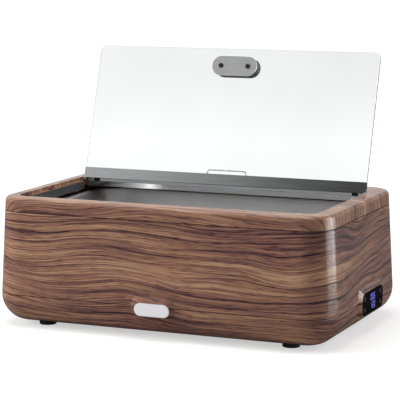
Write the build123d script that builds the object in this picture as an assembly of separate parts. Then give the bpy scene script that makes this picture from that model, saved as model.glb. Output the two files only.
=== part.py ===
from build123d import *
import os
from math import atan, cos, degrees, radians, sin, tan

# An electric chafing dish: a wood-look plastic housing with a steel well, a lift-off top frame that
# carries a hinged glass lid, and a standard food pan. Millimetres, +Z up. The origin is the centre of
# the footprint, on the table. The lid is drawn fully open, as the axis and the stops leave it.

# Small allowances
past = 1.0                  # a cutting block reaches this far past the face that it cuts
near = 0.01                 # an edge this near to a level lies on it
joined = 0.2                # a boss reaches this far into what it stands on

# Overall body
body_width = 615.4          # outline at the lower seam, where the housing is widest
body_depth = 389.0
body_corner = 56.0          # corner radius of that outline
wall_lean = 7.7             # how far each wall leans in over the height of the wall band
foot_height = 7.0
base_height = 50.0          # base shell, from its underside to the lower seam
base_round = 46.0           # radius of the bowl-shaped lower edge
band_height = 142.4         # wall band, from the lower seam to the upper seam
rim_height = 25.6           # upper seam to the inner edge of the rim
rim_fall = 2.2              # the rim's top falls this much towards the outside
crown_run = 20.0            # and does so over this width
rim_round = 8.0             # rounded outer edge of the rim
wall = 3.0                  # moulded wall of base and band
seam_gap = 1.0              # shadow line at each seam
seam_round = 0.5            # broken edge at each seam
frame_wall = 6.3            # upright wall of the top frame
ring_play = 0.8             # between the frame's locating ring and the band
ring_join = 3.0             # the ring reaches this far up into the frame

# Opening, ledge and lid
opening_width = 545.0
opening_front = 162.0       # from the centre to the front edge of the opening
opening_corner = 20.0       # its two front corners
ledge_drop = 6.0            # the ledge under the glass lies this far below the rim
ledge_width = 7.0
ledge_thick = 3.0
ledge_end_gap = 10.0        # the ledge stops this far in front of the hinge plate
deck_gap = 8.8              # from the hinge axis back to the edge of the rear deck
lid_lean = 18.1             # the open lid leans back by this many degrees
glass_thick = 4.0
glass_length = 250.3        # rail's back edge to the lid's front edge
glass_corner = 10.0
glass_edge = 0.4            # ground edge at the front
glass_hole_play = 0.3
lid_side_gap = 0.65         # between the lid and the opening, each side
lid_front_gap = 7.4         # finger's width in front of the closed lid
rail_width = 19.1
rail_wall = 1.0
rail_web = 6.0
seal_thick = 0.4
pivot_setback = 2.0         # hinge axis behind the rail's back edge
pivot_rise = 2.2            # and above the rail's lower face
lid_rest_gap = 0.3          # between the closed rail and the ledge
pin_radius = 1.5
pin_play = 0.04             # running clearance of the hinge pins
pin_short = 1.5             # the pins end this far inside their bushes
ear_thick = 2.0
ear_slot = 5.5              # slot in the rail's end that takes the ear
ear_play = 0.2
ear_low = 0.2               # ear's lower edge above the rail's lower face
ear_screw_radius = 1.2
ear_screw = 11.0
ear_bore = 12.0
ear_radius = 3.2
bush_radius = 2.6
bush_length = 8.0
bush_sink = 0.1             # bush below the wall of the opening
bush_end = 1.0              # its closed end
bush_boss_half = 6.0        # half the width of the boss round it
bush_boss_end = 2.0         # and the boss's closed end
cheek_height = 11.0         # wall beside the hinge, below the ledge's top
block_length = 2.5          # end block of the ledge
block_drop = 0.2            # and its top below the ledge's
stop_x = 250.0              # the two stops of the open lid
stop_width = 10.0
stop_gap = 0.3              # between the stops and the open lid
hinge_plate_thick = 1.2
hinge_plate_low = 0.4       # top of its upright leg, below the rim
hinge_screw_back = 4.0      # its screws, behind the deck's edge
hinge_screw_pitch = 105.0
hinge_screw_count = 5
hinge_screw = 5.0
hinge_screw_bore = 4.0
hinge_plate_drop = 8.9
hinge_plate_half = 269.3
hinge_plate_taper = 7.7     # its ends slope in by this much
hinge_plate_lap = 7.5       # how far it reaches under the deck
hinge_plate_ledge = 5.7     # how much of it shows behind the closed rail's back edge, as a rest
handle_along = 218.5        # rail's back edge to the handle's centre
handle_length = 87.0
handle_width = 36.7
handle_height = 18.0
handle_screw_x = 26.0
handle_screw_radius = 2.5
handle_screw = 10.0         # how far the screws reach into the grip
handle_bore = 11.0
handle_head_radius = 4.6
handle_head_high = 2.4
handle_head_edge = 1.0
grip_taper = 4.0            # the grip's foot is this much smaller all round
grip_edge = 3.0
plate_thick = 1.5
plate_edge = 0.5
washer_thick = 0.8
washer_inset = 1.5

# Steel liner of the opening, and the wire loop on the deck
liner_thick = 1.0
liner_flange = 9.0
liner_above_pan = 5.5
liner_top_gap = 0.3
liner_screw_in = 3.0        # its screws, inside the edge of the opening
liner_screw_front = 52.0    # first side screw, from the front of the opening
liner_screw_rear = 20.0     # last side screw, from the end of the ledge
liner_screw_pitch = 170.0   # along the front
liner_screw = 8.0
liner_boss = 3.0
liner_bore_end = 1.5        # solid left over each blind bore
pad_front = 40.0            # soft studs under the glass: front pair, from the front of the opening
pad_rear_y = -40.0          # and rear pair
pad_radius = 3.0
pad_high = 1.4
pad_stem = 2.0
pad_stem_radius = 1.5
loop_width = 76.0
loop_y = 128.0
loop_high = 21.5
loop_wire = 1.25
loop_bend = 6.0
loop_tail = 5.0             # below the deck
loop_nut_radius = 4.0
loop_nut_high = 2.5
rib_thick = 3.0
rib_high = 12.0
rib_pitch = 105.0
rib_start = 16.0            # behind the deck's edge

# Pan, well and heater
pan_width = 530.0           # the standard full-size food pan
pan_depth = 325.0
pan_height = 65.0
pan_flange = 12.0
pan_lip = 3.0
pan_corner = 52.0
pan_flange_corner = 30.0
pan_taper = 10.0            # each side of the pan's floor is this much further in
pan_round = 12.0
pan_steel = 1.0
pan_mouth = 0.8             # rounding where the wall meets the flange
pan_below_rim = 26.5        # pan's flange below the inner edge of the rim
well_clear = 3.0            # between the pan's wall and the well's wall, at the top
well_height = 92.0
well_flange = 20.0
well_steel = 1.0
well_round = 12.0
well_screw_out = 4.5        # its screws, outside the food pan's edge
well_screw_pitch = 110.0
well_screw_tail = 4.0
well_screw_head = 1.2
shelf_thick = 3.0
shelf_clear = 3.0           # between the shelf's opening and the well
element_radius = 3.5
element_gap = 0.3           # between the element and the floor of the well
element_clips = 4
element_x = 205.0           # half the loop's length and width
element_y = 105.0
element_bend = 40.0
element_drop = 22.0
element_tail = 18.0
element_tail_bend = 9.0
clip_thick = 1.5
clip_width = 16.0
clip_reach = 14.0           # past the element
stud_inside = 14.0          # studs stand this far inside the element
stud_tail = 6.0
nut_radius = 4.0
nut_high = 3.0
shield_half_x = 235.0
shield_half_y = 132.0
shield_wall = 12.0
shield_steel = 1.0
shield_above_tail = 4.0     # the element's ends come through it by this much
shield_tail_play = 2.0
shield_screw_x = 18.0       # its screws, from its sides
shield_screw_y = 12.0
cutout_y = 30.0             # safety thermostat
cutout_radius = 8.0
cutout_high = 9.0
cutout_tab = (6.0, 16.0, 5.0)
probe_x = 72.0              # temperature sensor
probe_y = -26.0
probe_size = (24.0, 8.0, 5.0)

# Badge and control panel, each on a raised pad with sloping flanks
badge_width = 64.0
badge_height = 22.0
badge_thick = 2.0
badge_z = 53.0
badge_edge = 0.6
badge_stud = 4.0
badge_raise = 5.5           # badge face in front of the outline at the lower seam
badge_flank = 8.0           # run of the pad's flanks at the sides and above
badge_root = 3.0            # the pad starts this far behind the outline
panel_width = 110.0
panel_height = 39.0
panel_thick = 3.0
panel_corner = 13.0
panel_y = 21.5
panel_z = 53.0
panel_edge = 0.8
panel_raise = 4.2           # panel face outside the outline at the lower seam
panel_flank = 8.0           # run of its pad's flanks at the sides
panel_flank_above = 6.5
panel_root = 8.0
panel_backing = 9.5         # inner face of the thickened wall, from the outline
panel_margin = 8.0          # the thickened wall is this much larger than the panel
flank_below = 1.5           # both pads are steep below
pad_rim = 1.0               # flat rim round badge and panel
fit_gap = 0.4               # between badge or panel and its seat
stud_radius = 1.4
digit_height = 11.5
digit_width = 5.6
digit_pitch = 9.0
digit_stroke = 1.4
digit_gap = 0.15            # between the strokes of a numeral
digit_deep = 0.4
row_pitch = 14.5
rows_text = ("085", "120")
key_y = 42.0                # touch marks, each side of the panel's centre
key_z = 9.0
key_ring = 3.6
key_line = 0.7
key_dash = (3.0, 0.8)       # length and height of the dash in each mark
window_side = 9.0           # the window is this much smaller than the panel, each side
window_end = 4.5
window_corner = 5.0
module_out = 4.0            # lamp block behind the panel, past the thickened wall
module_side = 2.0           # its play in the window
module_end = 1.5
board_thick = 1.6
control_reach = 3.0         # the control board is this much longer than the panel at each end
control_rise = 2.0          # and this much higher
control_post_in = (3.0, 4.0)
control_post_radius = 2.5
chip_pitch = 30.0
chip_size = (4.4, 12.0, 16.0)

# Feet, screws and power
foot_x = 225.0
foot_y = 140.0
foot_radius = 15.0
foot_seat = 1.5
foot_edge = 1.5
foot_play = 0.3
foot_grip = 3.0             # rubber between the screw's head and the shell
foot_head_play = 0.6
foot_post = 16.0            # post in the shell that the foot's screw bites in
foot_bore = 13.0
foot_screw = 14.0
screw_radius = 2.0
screw_play = 0.2
head_radius = 3.8
head_high = 2.4
head_play = 0.4
head_sink = 1.0             # heads lie this deep in the base
bore_end = 4.0              # solid left over each blind bore
screw_tip = 2.0             # bore left past each screw's tip
small_screw = 1.5
small_head = 2.8
small_high = 1.8
boss_radius = 5.5
boss_height = 26.0
tie_x = 190.0
tie_y = 150.0
post_radius = 3.5
vent_x = 110.0              # two groups of slots under the base
vent_count = 7
vent_pitch = 11.0
vent_width = 4.0
vent_length = 60.0
inlet_x = -200.0
inlet_z = 92.0
inlet_width = 50.0
inlet_height = 24.0
inlet_body = 28.0
inlet_sink = 2.0
inlet_deep = 18.0
inlet_flange = 2.0
inlet_step = 1.0            # its body is this much lower than the flange, above and below
inlet_frame = 5.0           # thicker wall round it
inlet_backing = 4.0
inlet_room = 2.0            # behind its body
inlet_corner = 4.0
inlet_screw_in = 5.0
socket_width = 24.4
socket_height = 16.0
socket_floor = 3.0
socket_cut = 5.0            # its two cut corners
contact_thick = 2.0
contact_high = 4.0
contact_x = 7.0
contact_z = 2.0
contact_tail = 4.0
contact_short = 3.0         # from the flange's back to the contact's tip
board_x = -170.0            # power board
board_y = 95.0
board_half_x = 50.0
board_half_y = 32.0
board_post = 8.0
board_hole_in = 5.0
board_screw = 6.0
relay = (-35.0, -5.0, -16.0, 12.0, 22.0)        # its parts: sides from its centre, and height
transformer = (5.0, 20.0, -20.0, 4.0, 15.0)
terminals = (6.0, 26.0, 12.0, 22.0, 10.0)
capacitor = (34.0, -6.0, 7.0, 20.0)             # centre, radius and height

# Levels and outlines that follow
base_bottom = foot_height
lower_seam = base_bottom + base_height
upper_seam = lower_seam + band_height
rim_top = upper_seam + rim_height
rim_edge = rim_top - rim_fall
lean_angle = degrees(atan(wall_lean / band_height))
lean_rate = wall_lean / band_height
pan_top = rim_top - pan_below_rim
well_top = pan_top - pan_lip
shelf_top = well_top - well_steel
well_bottom = well_top - well_height
ledge_top = rim_top - ledge_drop
plate_under = ledge_top                # underside of the top frame's plate and deck
lid_travel = 90.0 + lid_lean
lid_half = opening_width / 2 - lid_side_gap
rail_thick = glass_thick + 2 * seal_thick + 2 * rail_wall
pivot_z = ledge_top + lid_rest_gap + pivot_rise
pivot_y = glass_length - opening_front + lid_front_gap + pivot_setback
deck_front = pivot_y + deck_gap
pan_wall_width = pan_width - 2 * pan_flange
pan_wall_depth = pan_depth - 2 * pan_flange
well_width = pan_wall_width + 2 * well_clear
well_depth = pan_wall_depth + 2 * well_clear
well_corner = pan_corner + well_clear
half_width = body_width / 2
half_depth = body_depth / 2
tie_points = [(x * tie_x, y * tie_y) for x in (-1, 1) for y in (-1, 1)]
foot_points = [(x * foot_x, y * foot_y) for x in (-1, 1) for y in (-1, 1)]
badge_face_y = -half_depth - badge_raise
badge_floor_y = badge_face_y + badge_thick
badge_stud_x = (-badge_width / 3, badge_width / 3)
panel_face_x = half_width + panel_raise
panel_floor_x = panel_face_x - panel_thick
panel_back_x = half_width - panel_backing
module_back = panel_back_x - module_out
module_half_y = panel_width / 2 - window_side - module_side
module_half_z = panel_height / 2 - window_end - module_end
control_half_y = panel_width / 2 + control_reach
control_half_z = panel_height / 2 + control_rise
inlet_face = half_depth - (inlet_z + inlet_height / 2 - lower_seam) * lean_rate - inlet_sink
board_level = base_bottom + wall + board_post
element_z = well_bottom - well_steel - element_gap - element_radius
stud_y = (stud_inside - element_y, element_y - stud_inside)
shield_level = element_z - element_drop + shield_above_tail
liner_bottom = pan_top + liner_above_pan
hinge_plate_front = pivot_y - pivot_setback - hinge_plate_ledge
ledge_end = hinge_plate_front - ledge_end_gap
block_end = ledge_end + block_length
hinge_plate_rear = deck_front + hinge_plate_lap
hinge_plate_top = rim_top - hinge_plate_low
hinge_screw_y = deck_front + hinge_screw_back
glass_low = rail_wall + seal_thick
glass_high = glass_low + glass_thick


# Shapes used again and again

def block(x0, x1, y0, y1, z0, z1):
    """A box between two corners."""
    return Pos((x0 + x1) / 2, (y0 + y1) / 2, (z0 + z1) / 2) * Box(x1 - x0, y1 - y0, z1 - z0)


def rounded(width, depth, radius, bottom, height, taper=0.0):
    """An upright block with rounded corners that narrows by taper degrees."""
    outline = RectangleRounded(width, depth, radius)
    return Pos(0, 0, bottom) * extrude(outline, amount=height, taper=taper)


def upright(x, y, bottom, top, radius):
    """A round bar standing on Z."""
    return Pos(x, y, (bottom + top) / 2) * Cylinder(radius, top - bottom)


def along_x(y, z, start, end, radius):
    """A round bar lying on X."""
    return Pos((start + end) / 2, y, z) * Rot(0, 90, 0) * Cylinder(radius, abs(end - start))


def along_y(x, z, start, end, radius):
    """A round bar lying on Y."""
    return Pos(x, (start + end) / 2, z) * Rot(90, 0, 0) * Cylinder(radius, abs(end - start))


def body_block(inset, bottom, top):
    """The leaning body between two levels, taken in by inset on every side."""
    fall = (bottom - lower_seam) * lean_rate
    width = body_width - 2 * (inset + fall)
    depth = body_depth - 2 * (inset + fall)
    return rounded(width, depth, body_corner - inset - fall, bottom, top - bottom, lean_angle)


def straight_ring(inset, thick, bottom, top):
    """An upright ring that follows the upper seam's outline."""
    width = body_width - 2 * (wall_lean + inset)
    depth = body_depth - 2 * (wall_lean + inset)
    corner = body_corner - wall_lean - inset
    outside = rounded(width, depth, corner, bottom, top - bottom)
    return outside - rounded(width - 2 * thick, depth - 2 * thick, corner - thick, bottom, top - bottom)


def screw_up(x, y, head_bottom, length, radius, head, high):
    """A pan-head screw that points up, its head below."""
    return upright(x, y, head_bottom, head_bottom + high, head) + upright(
        x, y, head_bottom + high, head_bottom + high + length, radius)


def group(pieces):
    """Separate solids kept together under one name."""
    return Compound(children=list(pieces))


# Housing: base shell and wall band

def slot_face(length, height, plane_offset, x, z, towards):
    """A rounded slot outline standing on the front face."""
    plane = Plane(origin=(x, plane_offset, z), x_dir=(1, 0, 0), z_dir=(0, towards, 0))
    return plane * SlotOverall(length, height)


def panel_face(width, height, radius, x, z):
    """A rounded rectangle standing on the right-hand face."""
    plane = Plane(origin=(x, panel_y, z), x_dir=(0, 1, 0), z_dir=(1, 0, 0))
    return plane * RectangleRounded(width, height, radius)


def spread(run, raised, root):
    """How far a flank of this run has spread where its pad starts inside the wall."""
    return run * (raised + root) / raised


def badge_pad():
    """The raised pad under the badge: its flanks slope at the sides and above and are steep below."""
    side = spread(badge_flank, badge_raise, badge_root)
    below = spread(flank_below, badge_raise, badge_root)
    width = badge_width + 2 * pad_rim
    height = badge_height + 2 * pad_rim
    face = slot_face(width, height, badge_face_y, 0, badge_z, -1)
    root = slot_face(width + 2 * side, height + side + below, badge_root - half_depth, 0,
                     badge_z + (side - below) / 2, -1)
    return loft([root, face])


def panel_pad():
    """The raised pad under the control panel."""
    side = spread(panel_flank, panel_raise, panel_root)
    above = spread(panel_flank_above, panel_raise, panel_root)
    below = spread(flank_below, panel_raise, panel_root)
    width = panel_width + 2 * pad_rim
    height = panel_height + 2 * pad_rim
    corner = panel_corner + pad_rim
    face = panel_face(width, height, corner, panel_face_x, panel_z)
    root = panel_face(width + 2 * side, height + above + below, corner + (above + below) / 2,
                      half_width - panel_root, panel_z + (above - below) / 2)
    return loft([root, face])


def raised_pads(bottom, top):
    """The part of both pads between two levels."""
    pads = badge_pad() + panel_pad()
    return pads & block(-body_width, body_width, -body_depth, body_depth, bottom, top)


def face_seats():
    """Seats for the badge and the control panel, and the window behind the panel."""
    grow = 2 * fit_gap
    badge_seat = extrude(slot_face(badge_width + grow, badge_height + grow, badge_floor_y, 0, badge_z, -1),
                         amount=badge_thick + past)
    panel_seat = extrude(panel_face(panel_width + grow, panel_height + grow, panel_corner + fit_gap,
                                    panel_floor_x, panel_z), amount=panel_thick + past)
    start = panel_back_x - past
    window = extrude(panel_face(panel_width - 2 * window_side, panel_height - 2 * window_end, window_corner,
                                start, panel_z), amount=panel_floor_x - start)
    seats = badge_seat + panel_seat + window
    for x in badge_stud_x:
        seats += along_y(x, badge_z, badge_floor_y, badge_floor_y + badge_stud, stud_radius)
    return seats


def panel_thickening(solid):
    """Thicker wall behind the control panel, cut from the full body."""
    reach_y = panel_width / 2 + panel_margin
    reach_z = panel_height / 2 + panel_margin
    return solid & block(panel_back_x, panel_face_x, panel_y - reach_y, panel_y + reach_y,
                         panel_z - reach_z, panel_z + reach_z)


def soften(solid, level):
    """Break the edge that runs round a block at one level."""
    return fillet(solid.edges().filter_by_position(Axis.Z, level - near, level + near), seam_round)


def bowl(inset, bottom, round_radius):
    """The bowl-shaped base, taken in by inset."""
    solid = rounded(body_width - 2 * inset, body_depth - 2 * inset, body_corner - inset, bottom,
                    lower_seam - bottom)
    lowest = solid.edges().group_by(Axis.Z)[0]
    return fillet(lowest, round_radius)


def base_shell():
    """The bowl-shaped bottom moulding."""
    outside = soften(bowl(0, base_bottom, base_round), lower_seam) + raised_pads(base_bottom, lower_seam)
    shell = outside - bowl(wall, base_bottom + wall, base_round - wall)
    shell += panel_thickening(outside)
    floor = base_bottom + wall
    for x, y in tie_points:
        shell += upright(x, y, floor, lower_seam, boss_radius)
        shell -= upright(x, y, base_bottom, lower_seam, screw_radius + screw_play)
        shell -= upright(x, y, base_bottom, base_bottom + head_high + head_sink, head_radius + head_play)
    for x, y in foot_points:
        shell += upright(x, y, floor, base_bottom + foot_post, boss_radius)
        shell -= upright(x, y, base_bottom, base_bottom + foot_seat, foot_radius + foot_play)
        shell -= upright(x, y, base_bottom, base_bottom + foot_bore, screw_radius)
    for x in vent_slots():
        shell -= block(x - vent_width / 2, x + vent_width / 2, -vent_length / 2, vent_length / 2,
                       base_bottom - past, floor + past)
    for x, y in board_points():
        shell += upright(x, y, floor, board_level, post_radius)
        shell -= upright(x, y, floor + past, board_level, small_screw)
    return shell - face_seats()


def vent_slots():
    """The middle of each vent slot, in two groups."""
    middle = (vent_count - 1) / 2
    return [side * vent_x + (step - middle) * vent_pitch for side in (-1, 1) for step in range(vent_count)]


def seam_lip(inset, bottom, top):
    """The step inside the lower seam that closes the shadow line."""
    outside = rounded(body_width - 2 * inset, body_depth - 2 * inset, body_corner - inset, bottom,
                      top - bottom)
    return outside - rounded(body_width - 2 * wall, body_depth - 2 * wall, body_corner - wall, bottom,
                             top - bottom)


def inlet_outline(width, height, start, end):
    """A block centred on the power inlet, in the rear wall."""
    return block(inlet_x - width / 2, inlet_x + width / 2, start, end, inlet_z - height / 2,
                 inlet_z + height / 2)


def wall_band():
    """The tall leaning wall, with the shelf that carries the well."""
    outside = body_block(0, lower_seam + seam_gap, upper_seam)
    outside = soften(soften(outside, lower_seam + seam_gap), upper_seam)
    outside += raised_pads(lower_seam + seam_gap, upper_seam)
    band = outside - body_block(wall, lower_seam + seam_gap, upper_seam)
    band += seam_lip(wall / 2, lower_seam, lower_seam + seam_gap)
    shelf = body_block(wall / 2, shelf_top - shelf_thick, shelf_top)
    shelf -= rounded(well_width + 2 * (well_steel + shelf_clear), well_depth + 2 * (well_steel + shelf_clear),
                     well_corner + well_steel + shelf_clear, shelf_top - shelf_thick, shelf_thick)
    band += shelf
    band += panel_thickening(outside)
    for x, y in tie_points:
        reach = half_depth - wall
        side = 1 if y > 0 else -1
        band += upright(x, y, lower_seam, lower_seam + boss_height, boss_radius)
        low, high = sorted((y, side * reach))
        band += block(x - wall / 2, x + wall / 2, low, high, lower_seam + seam_gap, lower_seam + boss_height)
        band -= upright(x, y, lower_seam, lower_seam + boss_height - bore_end, screw_radius)
    seat = inlet_face - inlet_flange
    band += outside & inlet_outline(inlet_width + 2 * inlet_frame, inlet_height + 2 * inlet_frame,
                                    seat - inlet_backing, half_depth)
    band -= inlet_outline(inlet_width + 2 * fit_gap, inlet_height + 2 * fit_gap, seat, half_depth + past)
    band -= inlet_outline(inlet_body, inlet_height - 2 * inlet_step, seat - inlet_deep - inlet_room,
                          half_depth)
    for x in inlet_screw_x():
        band -= along_y(x, inlet_z, seat - inlet_backing - past, inlet_face, small_screw)
    for x, y in well_screw_points():
        band -= upright(x, y, shelf_top - shelf_thick, shelf_top, small_screw)
    return band - face_seats()


def tie_screws():
    """Screws from below that pull the base up against the wall band."""
    low = base_bottom + head_sink
    length = lower_seam + boss_height - bore_end - screw_tip - low - head_high
    return group(screw_up(x, y, low, length, screw_radius, head_radius, head_high) for x, y in tie_points)


def rubber_feet():
    feet = []
    for x, y in foot_points:
        foot = upright(x, y, 0, base_bottom + foot_seat, foot_radius)
        foot = fillet(foot.edges().group_by(Axis.Z)[0], foot_edge)
        foot -= upright(x, y, 0, foot_height - foot_grip, head_radius + foot_head_play)
        feet.append(foot - upright(x, y, 0, base_bottom + foot_seat, screw_radius))
    return group(feet)


def foot_screws():
    low = foot_height - foot_grip - head_high
    return group(screw_up(x, y, low, foot_screw, screw_radius, head_radius, head_high)
                 for x, y in foot_points)


# Badge and control panel

def badge_plate():
    """The oval name plate, left bare, with two studs."""
    plate = extrude(slot_face(badge_width, badge_height, badge_floor_y, 0, badge_z, -1), amount=badge_thick)
    plate = fillet(plate.edges().group_by(Axis.Y)[0], badge_edge)
    for x in badge_stud_x:
        plate += along_y(x, badge_z, badge_floor_y - joined, badge_floor_y + badge_stud, stud_radius)
    return plate


def control_panel():
    """The glossy front with recesses for the lit digits and the touch marks."""
    panel = extrude(panel_face(panel_width, panel_height, panel_corner, panel_floor_x, panel_z),
                    amount=panel_thick)
    panel = fillet(panel.edges().group_by(Axis.X)[-1], panel_edge)
    for piece in digit_bars():
        panel -= piece
    for piece in key_shapes():
        panel -= piece
    return panel


# Which of the seven strokes each numeral lights: top, upper right, lower right, bottom, lower left,
# upper left, middle
numeral_strokes = {"0": "abcdef", "1": "bc", "2": "abged", "5": "afgcd", "8": "abcdefg"}


def stroke_box(stroke, y, z):
    """One stroke of a numeral centred at y, z on the panel's face."""
    half_w = digit_width / 2
    half_h = digit_height / 2
    t = digit_stroke / 2
    across = (half_w - t - digit_gap, t)
    upward = (t, (half_h - 3 * t) / 2 - digit_gap)
    mid = (half_h - t) / 2
    places = {"a": (0, half_h - t, across), "g": (0, 0, across), "d": (0, -half_h + t, across),
              "b": (half_w - t, mid, upward), "c": (half_w - t, -mid, upward),
              "f": (t - half_w, mid, upward), "e": (t - half_w, -mid, upward)}
    dy, dz, (sy, sz) = places[stroke]
    return block(panel_face_x - digit_deep, panel_face_x, y + dy - sy, y + dy + sy,
                 z + dz - sz, z + dz + sz)


def digit_bars():
    bars = []
    for row, text in enumerate(rows_text):
        z = panel_z + (0.5 - row) * row_pitch
        for place, numeral in enumerate(text):
            y = panel_y + (place - 1) * digit_pitch
            bars += [stroke_box(stroke, y, z) for stroke in numeral_strokes[numeral]]
    return bars


def key_shapes():
    """Ring marks that show where to touch: two at each end of the panel."""
    marks = []
    low = panel_face_x - digit_deep
    half_y, half_z = key_dash[0] / 2, key_dash[1] / 2
    for y in (panel_y - key_y, panel_y + key_y):
        for z in (panel_z - key_z, panel_z + key_z):
            ring = along_x(y, z, low, panel_face_x, key_ring)
            marks.append(ring - along_x(y, z, low, panel_face_x, key_ring - key_line))
            marks.append(block(low, panel_face_x, y - half_y, y + half_y, z - half_z, z + half_z))
    return marks


def display_module():
    """Lamp block that lights the digits through the panel."""
    return block(module_back, panel_floor_x, panel_y - module_half_y, panel_y + module_half_y,
                 panel_z - module_half_z, panel_z + module_half_z)


def control_board():
    """Circuit board behind the panel, with three larger parts on it."""
    back = module_back - board_thick
    board = block(back, module_back, panel_y - control_half_y, panel_y + control_half_y,
                  panel_z - control_half_z, panel_z + control_half_z)
    deep, wide, high = chip_size
    for y in (panel_y - chip_pitch, panel_y, panel_y + chip_pitch):
        board += block(back - deep, back, y - wide / 2, y + wide / 2, panel_z - high / 2, panel_z + high / 2)
    return board


def control_posts():
    """Spacers from the thickened wall to the control board."""
    reach_y = control_half_y - control_post_in[0]
    reach_z = control_half_z - control_post_in[1]
    return group(along_x(panel_y + y * reach_y, panel_z + z * reach_z, module_back, panel_back_x,
                         control_post_radius) for y in (-1, 1) for z in (-1, 1))


# Power side

def inlet_screw_x():
    reach = inlet_width / 2 - inlet_screw_in
    return (inlet_x - reach, inlet_x + reach)


def power_inlet():
    """A standard appliance inlet with its flange on the rear wall."""
    seat = inlet_face - inlet_flange
    flange = inlet_outline(inlet_width, inlet_height, seat, inlet_face)
    flange = fillet(flange.edges().filter_by(Axis.Y), inlet_corner)
    body = inlet_outline(inlet_body - 2 * fit_gap, inlet_height - 2 * (inlet_step + fit_gap),
                         seat - inlet_deep, seat)
    socket = inlet_outline(socket_width, socket_height, seat - inlet_deep + socket_floor, inlet_face + past)
    socket = chamfer(socket.edges().filter_by(Axis.Y).sort_by(Axis.Z)[-2:], socket_cut)
    inlet = flange + body - socket
    for pin in pin_blocks():
        inlet -= pin
    for x in inlet_screw_x():
        inlet -= along_y(x, inlet_z, seat - past, inlet_face + past, small_screw)
    return inlet


def pin_blocks():
    """The three flat contacts, through the socket's floor."""
    seat = inlet_face - inlet_flange
    half_x, half_z = contact_thick / 2, contact_high / 2
    places = [(inlet_x - contact_x, inlet_z - contact_z), (inlet_x, inlet_z + contact_z),
              (inlet_x + contact_x, inlet_z - contact_z)]
    return [block(x - half_x, x + half_x, seat - inlet_deep - contact_tail, seat - contact_short,
                  z - half_z, z + half_z) for x, z in places]


def inlet_pins():
    return group(pin_blocks())


def inlet_screws():
    screws = []
    for x in inlet_screw_x():
        screw = along_y(x, inlet_z, inlet_face - inlet_flange - inlet_backing, inlet_face, small_screw)
        screw += along_y(x, inlet_z, inlet_face, inlet_face + small_high / 2, small_head)
        screws.append(screw)
    return group(screws)


def board_points():
    """Where the power board is screwed down."""
    reach_x = board_half_x - board_hole_in
    reach_y = board_half_y - board_hole_in
    return [(board_x + x * reach_x, board_y + y * reach_y) for x in (-1, 1) for y in (-1, 1)]


def power_board():
    """Circuit board with relay, transformer, terminals and a capacitor."""
    board = block(board_x - board_half_x, board_x + board_half_x, board_y - board_half_y,
                  board_y + board_half_y, board_level, board_level + board_thick)
    for x, y in board_points():
        board -= upright(x, y, board_level, board_level + board_thick, small_screw)
    top = board_level + board_thick
    for x0, x1, y0, y1, high in (relay, transformer, terminals):
        board += block(board_x + x0, board_x + x1, board_y + y0, board_y + y1, top, top + high)
    x, y, radius, high = capacitor
    return board + upright(board_x + x, board_y + y, top, top + high, radius)


def board_screws():
    """Screws that hold the power board on its posts."""
    top = board_level + board_thick
    return group(upright(x, y, top - board_screw, top, small_screw)
                 + upright(x, y, top, top + small_high, small_head) for x, y in board_points())


# Well and heater

def well_screw_points():
    """Screws through the well's flange, outside the food pan."""
    x = pan_width / 2 + well_screw_out
    return [(side * x, y * well_screw_pitch) for side in (-1, 1) for y in (-1, 0, 1)]


def steel_box(width, depth, corner, top, height, steel, taper, round_radius, outside):
    """The inside or outside of a pressed steel pan."""
    grow = steel if outside else 0
    angle = degrees(atan(taper / height))
    outline = RectangleRounded(width + 2 * grow, depth + 2 * grow, corner + grow)
    solid = Pos(0, 0, top) * Rot(180, 0, 0) * extrude(outline, amount=height + grow, taper=angle)
    return fillet(solid.edges().group_by(Axis.Z)[0], round_radius + grow)


def water_well():
    """The fixed steel well under the food pan, which holds the hot water."""
    flange_w = well_width + 2 * well_flange
    flange_d = well_depth + 2 * well_flange
    well = rounded(flange_w, flange_d, well_corner + well_flange, shelf_top, well_steel)
    well += steel_box(well_width, well_depth, well_corner, well_top, well_height, well_steel, 0,
                      well_round, True)
    well -= steel_box(well_width, well_depth, well_corner, well_top, well_height, well_steel, 0,
                      well_round, False)
    for x, y in well_screw_points():
        well -= upright(x, y, shelf_top, well_top, small_screw)
    return well


def well_screws():
    screws = []
    for x, y in well_screw_points():
        screw = upright(x, y, shelf_top - shelf_thick - well_screw_tail, well_top, small_screw)
        screws.append(screw + upright(x, y, well_top, well_top + well_screw_head, small_head))
    return group(screws)


def heating_element():
    """A sheathed element bent into one flat loop, its two ends turned down."""
    x = element_x
    y = element_y
    bends = [element_tail_bend] + [element_bend] * 4 + [element_tail_bend]
    flat = FilletPolyline((-element_tail, -y, -element_drop), (-element_tail, -y, 0), (-x, -y, 0), (-x, y, 0),
                          (x, y, 0), (x, -y, 0), (element_tail, -y, 0), (element_tail, -y, -element_drop),
                          radius=bends)
    start = Plane(origin=flat @ 0, z_dir=flat % 0)
    tube = sweep(start * Circle(element_radius), path=flat)
    return Pos(0, 0, element_z) * tube


def clip_x():
    """The brackets stand evenly along the straight part of the element."""
    span = element_x - element_bend
    return [span * (2 * step / (element_clips - 1) - 1) for step in range(element_clips)]


def element_brackets():
    """Steel bars that press the element up against the well."""
    bars = []
    top = element_z - element_radius
    for x in clip_x():
        reach = element_y + clip_reach
        bar = block(x - clip_width / 2, x + clip_width / 2, -reach, reach, top - clip_thick, top)
        for y in stud_y:
            bar -= upright(x, y, top - clip_thick, top, screw_radius)
        bars.append(bar)
    return group(bars)


def bracket_studs():
    """Studs welded under the well, each with its nut."""
    studs = []
    top = element_z - element_radius
    for x in clip_x():
        for y in stud_y:
            stud = upright(x, y, top - clip_thick - stud_tail, well_bottom - well_steel, screw_radius)
            nut = extrude(RegularPolygon(nut_radius, 6), amount=nut_high)
            studs.append(stud + Pos(x, y, top - clip_thick - nut_high) * nut)
    return group(studs)


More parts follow.
